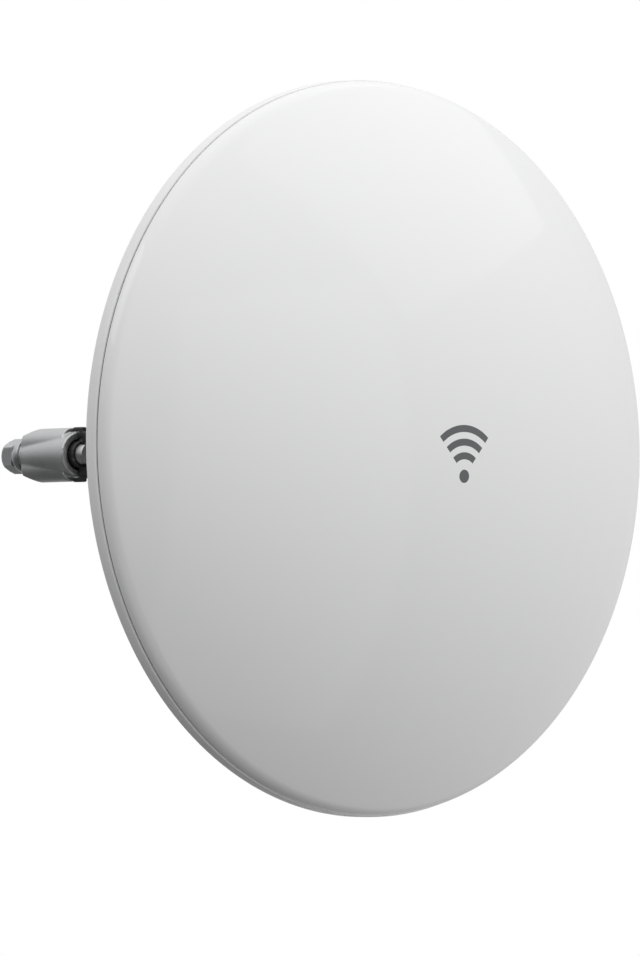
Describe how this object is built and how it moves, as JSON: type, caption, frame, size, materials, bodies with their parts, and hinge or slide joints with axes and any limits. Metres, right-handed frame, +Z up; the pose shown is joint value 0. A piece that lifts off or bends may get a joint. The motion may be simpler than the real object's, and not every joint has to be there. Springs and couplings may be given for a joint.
{
  "type": "outdoor wireless bridge",
  "caption": "Round dish antenna for a point-to-point radio link under a shallow white dome, tilting on a two-bolt clamp for a vertical pole.",
  "frame": {"origin": "on the axis of the pole that the clamp grips, at the middle of the clamp's height", "axes": "+Z up the pole, -Y the way the dish looks, +X to the right seen from behind the dish"},
  "size_m": [0.189, 0.1571, 0.189],
  "materials": {
    "dome_white": "gloss moulded",
    "shell_white": "satin moulded",
    "housing_white": "fine grain moulded",
    "door_grey": "fine grain moulded",
    "feed_plastic": "moulded",
    "dielectric_ivory": "moulded",
    "sheet_aluminium": "spun",
    "cast_grey": "cast, satin",
    "bracket_black": "glass-filled, satin",
    "knob_black": "satin moulded",
    "zinc_steel": "zinc plated",
    "stainless_steel": "turned",
    "tinned_steel": "tinned",
    "brass": "turned",
    "contact_gold": "plated",
    "rubber_grey": "matt",
    "rubber_black": "matt",
    "circuit_board": "solder mask",
    "component_black": "moulded",
    "capacitor_sleeve": "shrink sleeve",
    "clear_plastic": "polished",
    "button_red": "moulded"
  },
  "bodies": {
    "pole_bracket": {"pole_bracket": "bracket_black", "clamp_inserts": "zinc_steel", "tilt_washers": "rubber_grey", "pivot_bolt": "stainless_steel"},
    "antenna_head": {"radome": "dome_white", "seam_gasket": "rubber_grey", "reflector": "sheet_aluminium", "rear_shell": "shell_white", "feed_tube": "feed_plastic", "feed_screws": "zinc_steel", "feed_board": "circuit_board", "feed_cap": "dielectric_ivory", "sub_reflector": "sheet_aluminium", "rear_housing": "housing_white", "housing_gasket": "rubber_grey", "housing_screws": "stainless_steel", "radio_board": "circuit_board", "board_screws": "zinc_steel", "shield_cans": "tinned_steel", "heat_spreader": "sheet_aluminium", "transformer": "component_black", "capacitors": "capacitor_sleeve", "ethernet_jack": "component_black", "jack_contacts": "contact_gold", "light_pipes": "clear_plastic", "reset_switch": "component_black", "cable_grommet": "rubber_black", "ground_screw": "brass", "ground_washer": "stainless_steel", "vent_plug": "component_black", "tilt_arm": "cast_grey", "tilt_arm_screws": "stainless_steel"},
    "clamp_jaw": {"clamp_jaw": "cast_grey", "clamp_washers": "zinc_steel"},
    "clamp_bolt_left": {"clamp_bolt_left": "zinc_steel"},
    "clamp_bolt_right": {"clamp_bolt_right": "zinc_steel"},
    "lock_washer": {"lock_washer": "stainless_steel"},
    "lock_knob": {"lock_knob": "knob_black", "knob_insert": "brass"},
    "port_door": {"port_door": "door_grey"},
    "reset_button": {"reset_button": "button_red"}
  },
  "joints": [
    {"name": "tilt", "type": "hinge", "parent": "pole_bracket", "child": "antenna_head", "pos_m": [0, -0.0275, 0.016], "axis": [1, 0, 0], "range_deg": [-20, 20]},
    {"name": "jaw_slide", "type": "slide", "parent": "pole_bracket", "child": "clamp_jaw", "axis": [0, 1, 0], "range_m": [0, 0.006]},
    {"name": "clamp_bolt_left_turn", "type": "hinge", "parent": "clamp_jaw", "child": "clamp_bolt_left", "pos_m": [-0.02, 0.0086, 0], "axis": [0, 1, 0], "range_deg": [0, 2701]},
    {"name": "clamp_bolt_right_turn", "type": "hinge", "parent": "clamp_jaw", "child": "clamp_bolt_right", "pos_m": [0.02, 0.0086, 0], "axis": [0, 1, 0], "range_deg": [0, 2701]},
    {"name": "lock_washer_slide", "type": "slide", "parent": "pole_bracket", "child": "lock_washer", "axis": [1, 0, 0], "range_m": [0, 0.002]},
    {"name": "lock_knob_turn", "type": "hinge", "parent": "lock_washer", "child": "lock_knob", "pos_m": [0.01245, -0.0275, 0.016], "axis": [1, 0, 0], "range_deg": [0, 721]},
    {"name": "port_door_slide", "type": "slide", "parent": "antenna_head", "child": "port_door", "axis": [0, 0, -1], "range_m": [0, 0.03]},
    {"name": "reset_press", "type": "slide", "parent": "antenna_head", "child": "reset_button", "axis": [0, 0, 1], "range_m": [0, 0.0008], "stiffness_N_per_m": 400}
  ],
  "couplings": [
    {"joint": "clamp_bolt_left_turn", "follows": "jaw_slide", "rad_per_m": 7854},
    {"joint": "clamp_bolt_right_turn", "follows": "jaw_slide", "rad_per_m": 7854},
    {"joint": "lock_knob_turn", "follows": "lock_washer_slide", "rad_per_m": 6283.2}
  ]
}
